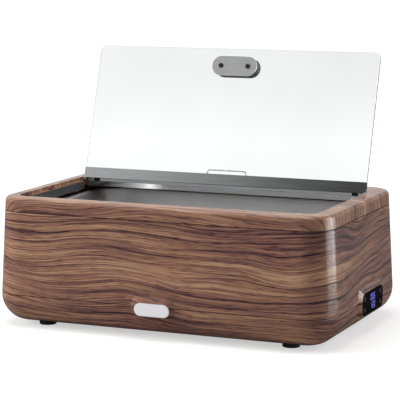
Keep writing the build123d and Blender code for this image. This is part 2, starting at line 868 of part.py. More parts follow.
def heat_shield():
    """A shallow bright tray that keeps the heat off the plastic base."""
    tray = block(-shield_half_x, shield_half_x, -shield_half_y, shield_half_y, shield_level,
                 shield_level + shield_wall)
    inner_x = shield_half_x - shield_steel
    inner_y = shield_half_y - shield_steel
    floor = shield_level + shield_steel
    tray -= block(-inner_x, inner_x, -inner_y, inner_y, floor, shield_level + shield_wall)
    for x in (-element_tail, element_tail):
        tray -= upright(x, -element_y, shield_level, floor, element_radius + shield_tail_play)
    for x, y in shield_points():
        tray -= upright(x, y, shield_level, floor, screw_radius)
    return tray


def shield_points():
    reach_x = shield_half_x - shield_screw_x
    reach_y = shield_half_y - shield_screw_y
    return [(x * reach_x, y * reach_y) for x in (-1, 1) for y in (-1, 1)]


def shield_spacers():
    """Long spacers between the well and the heat shield, with their screws."""
    spacers = []
    for x, y in shield_points():
        spacer = upright(x, y, shield_level + shield_steel, well_bottom - well_steel, post_radius)
        spacer += upright(x, y, shield_level, shield_level + shield_steel, screw_radius)
        spacers.append(spacer + upright(x, y, shield_level - head_high, shield_level, head_radius))
    return group(spacers)


def thermal_cutout():
    """Safety thermostat on the underside of the well."""
    top = well_bottom - well_steel
    low = top - cutout_high
    wide, long, high = cutout_tab
    disc = upright(0, cutout_y, low, top, cutout_radius)
    return disc + block(-wide / 2, wide / 2, cutout_y - long / 2, cutout_y + long / 2, low - high, low)


def temperature_probe():
    """Sensor that tells the control board how hot the well is."""
    long, wide, high = probe_size
    top = well_bottom - well_steel
    return block(probe_x - long / 2, probe_x + long / 2, probe_y - wide / 2, probe_y + wide / 2,
                 top - high, top)


# Food pan

def food_pan():
    """The standard full-size pan, pressed from stainless sheet with a turned-down edge."""
    height = pan_height - 2 * pan_steel
    body_top = pan_top - pan_steel
    flange = rounded(pan_width, pan_depth, pan_flange_corner, pan_top - pan_lip, pan_lip)
    flange -= rounded(pan_width - 2 * pan_steel, pan_depth - 2 * pan_steel, pan_flange_corner - pan_steel,
                      pan_top - pan_lip, pan_lip - pan_steel)
    outside = steel_box(pan_wall_width, pan_wall_depth, pan_corner, body_top, height, pan_steel, pan_taper,
                        pan_round, True)
    inside = steel_box(pan_wall_width, pan_wall_depth, pan_corner, pan_top, height + pan_steel, pan_steel,
                       pan_taper, pan_round, False)
    pan = flange + outside - inside
    mouth = pan.edges().filter_by_position(Axis.Z, pan_top - near, pan_top + near)
    inner_mouth = [e for e in mouth if abs(e.center().X) < pan_wall_width / 2 + past
                   and abs(e.center().Y) < pan_wall_depth / 2 + past]
    return fillet(inner_mouth, pan_mouth)


# Top frame

def opening(inset, bottom, top):
    """The lid opening taken in by inset: round front corners, square rear corners."""
    width = opening_width - 2 * inset
    front = -opening_front + inset
    rear = deck_front - inset
    corner = opening_corner - inset
    mid = (front + rear) / 2
    shape = Pos(0, mid, 0) * RectangleRounded(width, rear - front, corner)
    shape += Pos(0, rear - corner, 0) * Rectangle(width, 2 * corner)
    return Pos(0, 0, bottom) * extrude(shape, amount=top - bottom)


def liner_screw_points():
    """Screws that hold the steel liner, along the sides and the front."""
    x = opening_width / 2 - liner_screw_in
    first = liner_screw_front - opening_front
    last = ledge_end - liner_screw_rear
    sides = [(side * x, y) for side in (-1, 1) for y in (first, (first + last) / 2, last)]
    return sides + [(step * liner_screw_pitch, liner_screw_in - opening_front) for step in (-1, 0, 1)]


def top_frame():
    """The lift-off top: rim, ledge for the glass and rear deck in one moulding."""
    skirt_bottom = upper_seam + seam_gap
    outside = soften(body_block(0, skirt_bottom, rim_edge), skirt_bottom)
    fall = (rim_edge - lower_seam) * lean_rate
    crown = loft([
        Pos(0, 0, rim_edge) * RectangleRounded(body_width - 2 * fall, body_depth - 2 * fall,
                                               body_corner - fall),
        Pos(0, 0, rim_top) * RectangleRounded(body_width - 2 * (fall + crown_run),
                                              body_depth - 2 * (fall + crown_run),
                                              body_corner - fall - crown_run)], ruled=True)
    outside += crown
    edge = outside.edges().filter_by_position(Axis.Z, rim_edge - near, rim_edge + near)
    outside = fillet(edge, rim_round)
    inset = wall_lean + frame_wall
    cavity = rounded(body_width - 2 * inset, body_depth - 2 * inset, body_corner - inset,
                     skirt_bottom - past, plate_under - skirt_bottom + past)
    frame = outside - cavity
    frame += straight_ring(wall + ring_play, frame_wall - wall - ring_play, shelf_top,
                           skirt_bottom + ring_join)
    ledge_low = ledge_top - ledge_thick
    frame -= opening(0, ledge_low, rim_top + past)
    lip = opening(-wall, ledge_low, plate_under + past) - opening(0, ledge_low, plate_under + past)
    ledge = opening(-wall / 2, ledge_low, ledge_top) - opening(ledge_width, ledge_low, ledge_top)
    front_part = block(-half_width, half_width, -half_depth, ledge_end, ledge_low, rim_top)
    frame += (lip + ledge) & front_part
    for side in (-1, 1):
        frame += side_details(side)
        frame -= along_x(pivot_y, pivot_z, side * (opening_width / 2 - past),
                         side * (opening_width / 2 + bush_length), bush_radius)
    for x, y in liner_screw_points():
        frame += upright(x, y, liner_bottom + liner_thick, ledge_top - ledge_thick, liner_boss)
        frame -= upright(x, y, liner_bottom + liner_thick, ledge_top - liner_bore_end, small_screw)
    for x in (-2 * rib_pitch, -rib_pitch, rib_pitch, 2 * rib_pitch):
        frame += block(x - rib_thick / 2, x + rib_thick / 2, deck_front + rib_start,
                       half_depth - inset + past, plate_under - rib_high, plate_under)
    for x in hinge_screw_x():
        frame -= upright(x, hinge_screw_y, plate_under, plate_under + hinge_screw_bore, small_screw)
    for x in (-loop_width / 2, loop_width / 2):
        frame -= upright(x, loop_y, plate_under, rim_top, loop_wire)
    for x, y in pad_points():
        frame -= upright(x, y, ledge_top - pad_stem, ledge_top, pad_stem_radius)
    return frame


def side_details(side):
    """Wall beside the hinge, boss for the bush and end block of the ledge."""
    edge = opening_width / 2
    bottom = ledge_top - cheek_height
    low, high = sorted((side * edge, side * (edge + wall)))
    part = block(low, high, ledge_end, deck_front + wall, bottom, plate_under)
    low, high = sorted((side * edge, side * (edge + bush_length + bush_boss_end)))
    part += block(low, high, pivot_y - bush_boss_half, pivot_y + bush_boss_half, bottom, plate_under)
    low, high = sorted((side * (edge - ledge_width), side * (edge + wall)))
    return part + block(low, high, ledge_end, block_end, bottom, ledge_top - block_drop)


def pad_points():
    """Soft studs under the glass at the front corners and mid sides."""
    x = opening_width / 2 - ledge_width / 2
    return [(side * x, y) for side in (-1, 1) for y in (pad_front - opening_front, pad_rear_y)]


def ledge_pads():
    """Soft studs pressed into the ledge, which the closed glass rests on."""
    pads = []
    for x, y in pad_points():
        stem = upright(x, y, ledge_top - pad_stem, ledge_top, pad_stem_radius)
        pads.append(stem + upright(x, y, ledge_top, ledge_top + pad_high, pad_radius))
    return group(pads)


def frame_liner():
    """Dark steel band round three sides of the opening."""
    inner = ledge_width + liner_thick
    top = ledge_top - liner_top_gap
    band = opening(ledge_width, liner_bottom, top) - opening(inner, liner_bottom, top)
    foot = opening(ledge_width - liner_flange, liner_bottom, liner_bottom + liner_thick)
    foot -= opening(inner, liner_bottom, liner_bottom + liner_thick)
    liner = (band + foot) & block(-half_width, half_width, -half_depth, ledge_end, liner_bottom, ledge_top)
    for x, y in liner_screw_points():
        liner -= upright(x, y, liner_bottom, liner_bottom + liner_thick, small_screw)
    return liner


def liner_screws():
    return group(screw_up(x, y, liner_bottom - small_high, liner_screw, small_screw, small_head, small_high)
                 for x, y in liner_screw_points())


def hinge_screw_x():
    middle = (hinge_screw_count - 1) / 2
    return [(step - middle) * hinge_screw_pitch for step in range(hinge_screw_count)]


def hinge_plate():
    """Folded steel strip on the deck's edge, the rest for the back of the closed lid."""
    top_z = plate_under
    bottom_z = top_z - hinge_plate_drop
    front = hinge_plate_front
    half = hinge_plate_half
    plate = block(-half, half, front, hinge_plate_rear, top_z - hinge_plate_thick, top_z)
    plate += block(-half, half, deck_front - hinge_plate_thick, deck_front, top_z, hinge_plate_top)
    low_half = half - hinge_plate_taper
    face = Polyline((-half, top_z), (half, top_z), (low_half, bottom_z), (-low_half, bottom_z), close=True)
    profile = make_face(face)
    plane = Plane(origin=(0, front + hinge_plate_thick, 0), x_dir=(1, 0, 0), z_dir=(0, -1, 0))
    plate += extrude(plane * profile, amount=hinge_plate_thick)
    for x in hinge_screw_x():
        plate -= upright(x, hinge_screw_y, top_z - hinge_plate_thick, top_z, small_screw)
    return plate


def hinge_plate_screws():
    head_bottom = plate_under - hinge_plate_thick - small_high
    return group(screw_up(x, hinge_screw_y, head_bottom, hinge_screw, small_screw, small_head, small_high)
                 for x in hinge_screw_x())


def hinge_bushes():
    bushes = []
    for side in (-1, 1):
        start = side * (opening_width / 2 + bush_sink)
        end = side * (opening_width / 2 + bush_length)
        bush = along_x(pivot_y, pivot_z, start, end, bush_radius)
        bushes.append(bush - along_x(pivot_y, pivot_z, start, end - side * bush_end, pin_radius + pin_play))
    return group(bushes)


def lid_point(along, above):
    """A point of the open lid: distance from its back edge, height over the rail's lower face."""
    lean = radians(lid_lean)
    reach = pivot_setback + along
    over = above - pivot_rise
    return (pivot_y + reach * sin(lean) + over * cos(lean), pivot_z + reach * cos(lean) - over * sin(lean))


def lid_stops():
    """Soft blocks on the deck's edge that the open lid leans on."""
    corner_y, corner_z = lid_point(0, rail_thick)
    lean = tan(radians(lid_lean))
    top_y = corner_y + (hinge_plate_top - corner_z) * lean + stop_gap
    low_y = corner_y + stop_gap
    back_y = deck_front - hinge_plate_thick
    outline = Polyline((back_y, plate_under), (back_y, hinge_plate_top), (top_y, hinge_plate_top),
                       (low_y, corner_z), (low_y, plate_under), close=True)
    plane = Plane(origin=(0, 0, 0), x_dir=(0, 1, 0), z_dir=(1, 0, 0))
    stop = extrude(plane * make_face(outline), amount=stop_width)
    return group(Pos(x - stop_width / 2, 0, 0) * stop for x in (-stop_x, stop_x))


def wire_loop():
    """Bent wire standing on the rear deck, its ends through the deck."""
    half = loop_width / 2
    top = rim_top + loop_high - loop_wire
    foot = plate_under - loop_tail
    path = FilletPolyline((-half, loop_y, foot), (-half, loop_y, top), (half, loop_y, top),
                          (half, loop_y, foot), radius=loop_bend)
    start = Plane(origin=path @ 0, z_dir=path % 0)
    return sweep(start * Circle(loop_wire), path=path)


def loop_nuts():
    nuts = []
    for x in (-loop_width / 2, loop_width / 2):
        nut = upright(x, loop_y, plate_under - loop_nut_high, plate_under, loop_nut_radius)
        nuts.append(nut - upright(x, loop_y, plate_under - loop_nut_high, plate_under, loop_wire))
    return group(nuts)


# Lid, drawn shut about its hinge axis and then swung open

def lid_open(piece):
    """Swing a piece drawn shut, with y from the hinge axis and z from the rail's lower face."""
    return Pos(0, pivot_y, pivot_z) * Rot(-lid_travel, 0, 0) * Pos(0, 0, -pivot_rise) * piece


def strip(half, near, far, low, high):
    """A bar across the lid between two distances from its back edge."""
    return block(-half, half, -pivot_setback - far, -pivot_setback - near, low, high)


def handle_disc(length, width, low, high):
    """An oval slice at the handle."""
    outline = Pos(0, -pivot_setback - handle_along, low) * SlotOverall(length, width)
    return extrude(outline, amount=high - low)


def handle_bar(x, low, high, radius):
    return upright(x, -pivot_setback - handle_along, low, high, radius)


def lid_glass():
    start = rail_web + seal_thick
    mid = -pivot_setback - (start + glass_length) / 2
    length = glass_length - start
    pane = RectangleRounded(2 * lid_half, length, glass_corner)
    pane += Pos(0, length / 2 - glass_corner, 0) * Rectangle(2 * lid_half, 2 * glass_corner)
    glass = Pos(0, mid, glass_low) * extrude(pane, amount=glass_thick)
    for x in (-handle_screw_x, handle_screw_x):
        glass -= handle_bar(x, glass_low, glass_high, handle_screw_radius + glass_hole_play)
    front = -pivot_setback - glass_length
    front_edges = glass.edges().filter_by_position(Axis.Y, front - near, front + near).filter_by(Axis.X)
    return lid_open(chamfer(front_edges, glass_edge))


def hinge_rail():
    """The folded steel rail that grips the glass along its back edge."""
    rail = strip(lid_half, 0, rail_width, 0, rail_thick)
    rail -= strip(lid_half, rail_web, rail_width, rail_wall, rail_thick - rail_wall)
    for side in (-1, 1):
        low, high = sorted((side * (lid_half - ear_thick), side * (lid_half + past)))
        rail -= block(low, high, -pivot_setback - ear_slot, 0, -past, rail_thick + past)
        rail -= ear_bar(side * (lid_half - ear_bore), side * lid_half)
    return lid_open(rail)


def ear_bar(start, end):
    """A round bar where an ear's screw runs into the end of the rail."""
    return along_x(-pivot_setback - rail_web / 2, rail_thick / 2, start, end, ear_screw_radius)


def rail_seal():
    """Thin channel of soft rubber between the glass and the rail."""
    seal = strip(lid_half, rail_web, rail_width, rail_wall, rail_thick - rail_wall)
    seal -= strip(lid_half, rail_web + seal_thick, rail_width, glass_low, glass_high)
    return lid_open(seal)


def hinge_ears():
    """Steel ears on the ends of the rail, which reach back to the hinge axis."""
    ears = []
    for side in (-1, 1):
        low, high = sorted((side * (lid_half - ear_thick), side * lid_half))
        ear = along_x(0, pivot_rise, low, high, ear_radius)
        ear += block(low, high, ear_play - pivot_setback - ear_slot, 0, ear_low, pivot_rise + ear_radius)
        ear -= along_x(0, pivot_rise, low, high, pin_radius)
        ears.append(lid_open(ear - ear_bar(low, high)))
    return group(ears)


def ear_screws():
    """Screws that hold the ears in the ends of the rail."""
    return group(lid_open(ear_bar(side * (lid_half - ear_screw), side * lid_half)) for side in (-1, 1))


def hinge_pins():
    """Pins fixed in the ears that turn in the bushes of the top frame."""
    pins = []
    for side in (-1, 1):
        inner = side * (lid_half - ear_thick)
        end = side * (opening_width / 2 + bush_length - pin_short)
        pins.append(lid_open(along_x(0, pivot_rise, inner, end, pin_radius)))
    return group(pins)


def handle_plate():
    """Oval steel plate on the inside of the glass."""
    plate = handle_disc(handle_length, handle_width, glass_low - washer_thick - plate_thick,
                        glass_low - washer_thick)
    plate = fillet(plate.edges().group_by(Axis.Z)[0], plate_edge)
    for x in (-handle_screw_x, handle_screw_x):
        plate -= handle_bar(x, glass_low - washer_thick - plate_thick, glass_low - washer_thick,
                            handle_screw_radius)
    return lid_open(plate)


def handle_gaskets():
    """Soft oval gaskets on both faces of the glass."""
    pieces = []
    for low in (glass_low - washer_thick, glass_high):
        pad = handle_disc(handle_length - 2 * washer_inset, handle_width - 2 * washer_inset, low,
                          low + washer_thick)
        for x in (-handle_screw_x, handle_screw_x):
            pad -= handle_bar(x, low, low + washer_thick, handle_screw_radius)
        pieces.append(lid_open(pad))
    return group(pieces)


def handle_grip():
    """Oval knob on the outside of the glass, a little narrower at its foot."""
    low = glass_high + washer_thick
    y = -pivot_setback - handle_along
    foot = Pos(0, y, low) * SlotOverall(handle_length - 2 * grip_taper, handle_width - 2 * grip_taper)
    head = Pos(0, y, low + handle_height) * SlotOverall(handle_length, handle_width)
    grip = loft([foot, head])
    grip = fillet(grip.edges().group_by(Axis.Z)[-1], grip_edge)
    for x in (-handle_screw_x, handle_screw_x):
        grip -= handle_bar(x, low, low + handle_bore, handle_screw_radius)
    return lid_open(grip)


def handle_screws():
    screws = []
    top = glass_low - washer_thick - plate_thick
    for x in (-handle_screw_x, handle_screw_x):
        screw = handle_bar(x, top, glass_high + washer_thick + handle_screw, handle_screw_radius)
        head = handle_bar(x, top - handle_head_high, top, handle_head_radius)
        head = fillet(head.edges().group_by(Axis.Z)[0], handle_head_edge)
        screws.append(lid_open(screw + head))
    return group(screws)


nodes = {
    "base_shell": base_shell, "wall_band": wall_band, "tie_screws": tie_screws,
    "rubber_feet": rubber_feet, "foot_screws": foot_screws,
    "badge_plate": badge_plate, "control_panel": control_panel,
    "display_digits": lambda: group(digit_bars()), "touch_marks": lambda: group(key_shapes()),
    "display_module": display_module, "control_board": control_board, "control_posts": control_posts,
    "power_inlet": power_inlet, "inlet_pins": inlet_pins, "inlet_screws": inlet_screws,
    "power_board": power_board, "board_screws": board_screws,
    "water_well": water_well, "well_screws": well_screws, "heating_element": heating_element,
    "element_brackets": element_brackets, "bracket_studs": bracket_studs, "heat_shield": heat_shield,
    "shield_spacers": shield_spacers, "thermal_cutout": thermal_cutout,
    "temperature_probe": temperature_probe,
    "food_pan": food_pan,
    "top_frame": top_frame, "frame_liner": frame_liner, "liner_screws": liner_screws,
    "ledge_pads": ledge_pads, "hinge_plate": hinge_plate, "hinge_plate_screws": hinge_plate_screws,
    "hinge_bushes": hinge_bushes, "lid_stops": lid_stops, "wire_loop": wire_loop, "loop_nuts": loop_nuts,
    "lid_glass": lid_glass, "hinge_rail": hinge_rail, "rail_seal": rail_seal, "hinge_ears": hinge_ears,
    "ear_screws": ear_screws, "hinge_pins": hinge_pins, "handle_plate": handle_plate,
    "handle_gaskets": handle_gaskets, "handle_grip": handle_grip, "handle_screws": handle_screws,
}

# The pads stand out at the front and the right only, so everything moves by half of each
to_centre = Pos(-panel_raise / 2, badge_raise / 2, 0)
os.makedirs("parts", exist_ok=True)
for name, make in nodes.items():
    export_step(group(to_centre * solid for solid in make().solids()), f"parts/{name}.step")
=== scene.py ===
import math

import bpy
from mathutils import Matrix, Vector


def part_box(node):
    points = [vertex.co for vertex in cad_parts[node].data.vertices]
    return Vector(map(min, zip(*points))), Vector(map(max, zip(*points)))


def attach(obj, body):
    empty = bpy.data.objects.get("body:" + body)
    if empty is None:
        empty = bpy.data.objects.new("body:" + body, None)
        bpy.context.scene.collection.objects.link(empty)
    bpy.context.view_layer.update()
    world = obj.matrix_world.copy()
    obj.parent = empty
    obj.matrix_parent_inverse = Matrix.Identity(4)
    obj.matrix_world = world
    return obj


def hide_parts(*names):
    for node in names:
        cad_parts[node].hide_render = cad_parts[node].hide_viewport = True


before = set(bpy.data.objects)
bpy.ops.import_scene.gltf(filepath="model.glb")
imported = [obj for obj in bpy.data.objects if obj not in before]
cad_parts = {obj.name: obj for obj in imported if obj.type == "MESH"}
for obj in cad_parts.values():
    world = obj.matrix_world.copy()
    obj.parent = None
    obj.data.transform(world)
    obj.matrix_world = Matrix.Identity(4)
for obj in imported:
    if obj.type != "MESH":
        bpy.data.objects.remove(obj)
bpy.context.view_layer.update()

# The housing: a bowl-shaped base, a tall leaning band and the lift-off frame, three injection mouldings
# in ABS. A walnut grain is printed on film and laid round them in hot water, then sealed with satin
# lacquer, so the figure runs round the corners and every edge stays closed and smooth.


def linear(text):
    """The linear colour of an sRGB hex value, as a shader takes it."""
    parts = [int(text[i:i + 2], 16) / 255 for i in (1, 3, 5)]
    return [p / 12.92 if p <= 0.04045 else ((p + 0.055) / 1.055) ** 2.4 for p in parts] + [1.0]


def join(tree, node, inputs):
    """Sets a node's inputs, or links them to other sockets, or to nodes by their first output."""
    for place, value in inputs.items():
        if isinstance(value, bpy.types.Node):
            value = value.outputs[0]
        if isinstance(value, bpy.types.NodeSocket):
            tree.links.new(value, node.inputs[place])
        else:
            node.inputs[place].default_value = value


def put(tree, kind, inputs=(), stops=(), **settings):
    """Adds a node with its settings, its inputs by name, by number or in order, and a ramp's stops."""
    made = tree.nodes.new(kind)
    for name, value in settings.items():
        setattr(made, name, value)
    join(tree, made, inputs if isinstance(inputs, dict) else dict(enumerate(inputs)))
    for index, (place, colour) in enumerate(stops):
        ramp = made.color_ramp.elements
        stop = ramp[index] if index < len(ramp) else ramp.new(place)
        stop.position = place
        stop.color = linear(colour)
    return made


def finish_of(name):
    """A new material with its node tree, its shader and the piece's own coordinates."""
    made = bpy.data.materials.new(name)
    made.use_nodes = True
    tree = made.node_tree
    shader = tree.nodes["Principled BSDF"]
    place = put(tree, "ShaderNodeTexCoord").outputs["Object"]
    return made, tree, shader, place


def dress(finish, slot, *names):
    """Gives CAD pieces their finish; the slot is not used."""
    for name in names:
        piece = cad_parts[name]
        for held in piece.material_slots:
            held.material = finish


# The print is made of layers, each with patches this many metres along the grain and across it.
broad_bend = (0.26, 0.15)       # the grain's slow bends
fine_bend = (0.10, 0.045)
heart_patch = (0.30, 0.030)     # dark and light parts of the heartwood
band_patch = (0.20, 0.0068)     # broad bands
vein_patch = (0.17, 0.0018)     # fine veins
fibre_patch = (0.12, 0.0010)    # fibres, as fine as the photograph can show
pore_patch = (0.024, 0.0014)    # pore marks, drawn coarser than real ones so that they show
broad_sway = 0.074              # metres that the grain wanders in a slow bend
fine_sway = 0.008               # and in a fine one
ring_pitch = 0.0130             # between the dark lines of the growth rings
ring_wander = 6.0               # how far the heartwood's patches bend those lines, in radians
ring_soft = 0.55                # how wide each line fades
pore_limits = (0.54, 0.68)      # the noise values where a pore mark starts and is full
figure_middle = -0.288          # brings the middle of the sum to the middle tint
seam_levels = (0.0575, 0.1999)  # the shadow lines under and over the band, at mid-gap
seam_half = 0.0006              # the print stops this far from a seam, and painted shade, a dark line for the shadow in the gap, shows there
seam_fade = 0.0002
painted_seam_shade = "#1e1613"

grain = bpy.data.node_groups.new("walnut_figure", "ShaderNodeTree")
# The figure's second input lifts it paler everywhere: painted light, for a part that more of the light from
# above falls on.
for name, side, kind in (("Along and across", "INPUT", "Vector"), ("Painted light lift", "INPUT", "Float"),
                         ("Colour", "OUTPUT", "Color"), ("Relief", "OUTPUT", "Float")):
    grain.interface.new_socket(name, in_out=side, socket_type="NodeSocket" + kind)
given, painted_light_lift = put(grain, "NodeGroupInput").outputs[:2]


def patches(place, patch, rough=0.5):
    """Noise whose patches have a length along the grain and one across it."""
    along, across = patch
    scaled = put(grain, "ShaderNodeMapping",
                 {"Vector": place, "Scale": (1 / along, 1 / along, 1 / across)})
    return put(grain, "ShaderNodeTexNoise",
               {"Vector": scaled, "Scale": 1.0, "Detail": 1.0, "Roughness": rough})


def weigh(*terms, offset=0.0):
    """The sum of each value times its weight."""
    total = offset
    for value, weight in terms:
        total = put(grain, "ShaderNodeMath", [value, weight, total], operation="MULTIPLY_ADD")
    return total


split = put(grain, "ShaderNodeSeparateXYZ", [given])
sway = weigh((patches(given, broad_bend), broad_sway), (patches(given, fine_bend), fine_sway),
             (split.outputs["Z"], 1.0))
bent = put(grain, "ShaderNodeCombineXYZ", [split.outputs["X"], split.outputs["Y"], sway])
heart = patches(bent, heart_patch)
bands = patches(bent, band_patch)
veins = patches(bent, vein_patch, 0.6)
fibres = patches(bent, fibre_patch, 0.6)
pores = put(grain, "ShaderNodeMapRange",
            {"Value": patches(bent, pore_patch), "From Min": pore_limits[0], "From Max": pore_limits[1]})
rings_passed = weigh((sway, math.pi / ring_pitch), (heart, ring_wander))
wave = put(grain, "ShaderNodeMath", [rings_passed], operation="SINE")
between_rings = put(grain, "ShaderNodeMath", [wave], operation="ABSOLUTE")
growth = put(grain, "ShaderNodeMapRange", {"Value": between_rings, "From Min": 0.0, "From Max": ring_soft},
             interpolation_type="SMOOTHSTEP")
figure = weigh((bands, 0.20), (veins, 0.38), (fibres, 0.50), (heart, 0.40), (pores, -0.12), (growth, 0.12),
               (painted_light_lift, 1.0), offset=figure_middle)
tint = put(grain, "ShaderNodeValToRGB", [figure], stops=[
    (0.30, "#2c1b1c"), (0.40, "#4e3333"), (0.48, "#6d4b45"), (0.55, "#845c4e"), (0.63, "#997359"),
    (0.74, "#b49074")])
put(grain, "NodeGroupOutput", [tint, figure])


def lacquered(name, laid, light_lift):
    """Satin lacquer over the print, laid by a function that says where each point of the film lies, with
    painted shade along the seams and the print made paler by the amount given, a painted light.
    """
    finish, tree, shader, place = finish_of(name)
    film = put(tree, "ShaderNodeGroup", [laid(tree, place), light_lift], node_tree=grain)
    colour, relief = film.outputs
    # Painted shade: near each seam the print gives way to a dark colour, standing in for the shadow in the
    # gap between the mouldings.
    up = put(tree, "ShaderNodeSeparateXYZ", [place]).outputs["Z"]
    off = []
    for level in seam_levels:
        above = put(tree, "ShaderNodeMath", [up, level], operation="SUBTRACT")
        off.append(put(tree, "ShaderNodeMath", [above], operation="ABSOLUTE"))
    nearest = put(tree, "ShaderNodeMath", off, operation="MINIMUM")
    printed = put(tree, "ShaderNodeMapRange",
                  {"Value": nearest, "From Min": seam_half - seam_fade, "From Max": seam_half + seam_fade})
    skin = put(tree, "ShaderNodeMix", {0: printed, 6: linear(painted_seam_shade), 7: colour}, data_type="RGBA")
    # Pale wood takes the lacquer smoother than dark.
    gloss = put(tree, "ShaderNodeMapRange",
                {"Value": relief, "From Min": 0.35, "From Max": 0.7, "To Min": 0.24, "To Max": 0.16})
    bump = put(tree, "ShaderNodeBump", {"Height": relief, "Strength": 0.4, "Distance": 0.0010})
    join(tree, shader, {"Base Color": skin.outputs[2], "Roughness": gloss, "Specular IOR Level": 0.3,
                        "Normal": bump})
    return finish


def round_the_sides(tree, place):
    """The film goes round the walls level, and flat across the underside."""
    wall_ends, underside_starts = -0.80, -0.97      # how far down the surface faces there
    x, y, z = put(tree, "ShaderNodeSeparateXYZ", [place]).outputs
    normal = put(tree, "ShaderNodeNewGeometry").outputs["Normal"]
    down = put(tree, "ShaderNodeSeparateXYZ", [normal]).outputs["Z"]
    under = put(tree, "ShaderNodeMapRange",
                {"Value": down, "From Min": wall_ends, "From Max": underside_starts})
    across = put(tree, "ShaderNodeMath", [y, under, z], operation="MULTIPLY_ADD")
    return put(tree, "ShaderNodeCombineXYZ", [x, y, across])


def draped_over(tree, place):
    """The film lies on the frame from above, grain along X, and hangs straight down all round it."""
    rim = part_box("top_frame")[1][2]
    other_leaf = 0.37           # metres to a part of the print that the walls don't use
    never_zero = 0.001          # keeps the divisor above zero where the surface lies flat
    known = dict(zip("xyz", put(tree, "ShaderNodeSeparateXYZ", [place]).outputs))
    normal = put(tree, "ShaderNodeNewGeometry").outputs["Normal"]
    known["side"], known["face"] = put(tree, "ShaderNodeSeparateXYZ", [normal]).outputs[:2]
    for name, operation, *terms in (
            ("face squared", "MULTIPLY_ADD", "face", "face", never_zero),
            ("level squared", "MULTIPLY_ADD", "side", "side", "face squared"),
            ("face size", "ABSOLUTE", "face"),
            ("signed square", "MULTIPLY", "face", "face size"),
            ("front", "DIVIDE", "signed square", "level squared"),
            ("fall", "SUBTRACT", rim, "z"),
            ("across", "MULTIPLY_ADD", "front", "fall", "y"),
            ("front size", "ABSOLUTE", "front"),
            ("end", "SUBTRACT", 1.0, "front size"),
            ("along", "MULTIPLY_ADD", "end", "fall", "x")):
        known[name] = put(tree, "ShaderNodeMath", [known.get(term, term) for term in terms],
                          operation=operation)
    return put(tree, "ShaderNodeCombineXYZ", [known["along"], other_leaf, known["across"]])


dress(lacquered("printed_walnut_abs", round_the_sides, 0.0), "wood_look", "base_shell", "wall_band")
# The frame's print is drawn paler than the walls' by that painted light: the frame's top and rim are shown
# lit from above.
dress(lacquered("draped_walnut_abs", draped_over, 0.05), "wood_look", "top_frame")

# Four feet of soft rubber, moulded with a broken lower edge and a recess for the screw that holds each
# one under the base, and every other soft part: lid stops, pads, the rail's seal and the gaskets.


def shaded(name, repeats, detail, shades, rough, relief=None, metallic=0.0):
    """A finish whose shades follow noise, as do its roughness, where that is a range, and its relief, a
    strength and a depth. The noise repeats that often in a metre, or in a metre along each axis. Most
    real marks are too fine to show here, so the noise is drawn coarser, in the sizes that are given."""
    finish, tree, shader, place = finish_of(name)
    if isinstance(repeats, tuple):
        place = put(tree, "ShaderNodeMapping", {"Vector": place, "Scale": repeats})
        repeats = 1.0
    pattern = put(tree, "ShaderNodeTexNoise", {"Vector": place, "Scale": repeats, "Detail": detail})
    stops = [(0.3 + 0.4 * index / (len(shades) - 1), shade) for index, shade in enumerate(shades)]
    shade = put(tree, "ShaderNodeValToRGB", [pattern], stops)
    join(tree, shader, {"Base Color": shade, "Metallic": metallic})
    if isinstance(rough, tuple):
        rough = put(tree, "ShaderNodeMapRange", {"Value": pattern, "To Min": rough[0], "To Max": rough[1]})
    join(tree, shader, {"Roughness": rough})
    if relief:
        bump = put(tree, "ShaderNodeBump", {"Height": pattern, "Strength": relief[0], "Distance": relief[1]})
        join(tree, shader, {"Normal": bump})
    return finish, tree, shader


# Carbon-filled rubber, moulded: nearly black and matt, with the faint cloud of the mould's surface, in
# patches of 2.4 mm.
rubber = shaded("moulded_rubber", 420.0, 3.0, ("#141414", "#222223"), (0.62, 0.82), (0.2, 0.0002))[0]
dress(rubber, "black_rubber", "rubber_feet", "ledge_pads", "lid_stops", "rail_seal", "handle_gaskets")

# Small steel hardware: screws, nuts, studs, brackets and spacers, turned or pressed from low-carbon
# steel. They hold the housing's mouldings, the well, the boards and the hinge together.

# Zinc plate: a cool light grey metal, clouded every 4 mm and soft in its shine.
zinc = shaded("zinc_plated_steel", 260.0, 4.0, ("#8f9194", "#b4b5b8"), (0.28, 0.45), metallic=1.0)[0]
dress(zinc, "screw_steel", "tie_screws", "foot_screws", "inlet_screws", "board_screws", "well_screws",
      "element_brackets", "bracket_studs", "shield_spacers", "liner_screws", "hinge_plate_screws",
      "loop_nuts", "ear_screws", "hinge_pins")

# The oval plate at the front, moulded in ABS and lacquered. It is pressed into a shallow dish in its
# raised pad, on two studs, and is left bare.

# White lacquer on a moulded plate: clean, bright and softly glossy, with the least orange peel, its
# dimples 1.4 mm apart.
white = shaded("white_lacquered_plate", 700.0, 2.0, ("#ecebee", "#f4f3f6"), 0.3, (0.05, 0.0002))[0]
dress(white, "white_badge", "badge_plate")

# The control panel: a black acrylic front over a lamp block. The digits are lit from behind, and grey
# marks printed on it show where to touch. The boards behind it and in the base do the switching.

# Polished cast acrylic: deep black with a clear reflection and hardly any texture of its own, a haze
# that changes over 11 mm.
acrylic, tree, shader = shaded("polished_black_acrylic", 90.0, 2.0, ("#020203", "#060608"), (0.06, 0.11))
join(tree, shader, {"IOR": 1.25, "Specular IOR Level": 0.02})
dress(acrylic, "black_gloss", "control_panel")

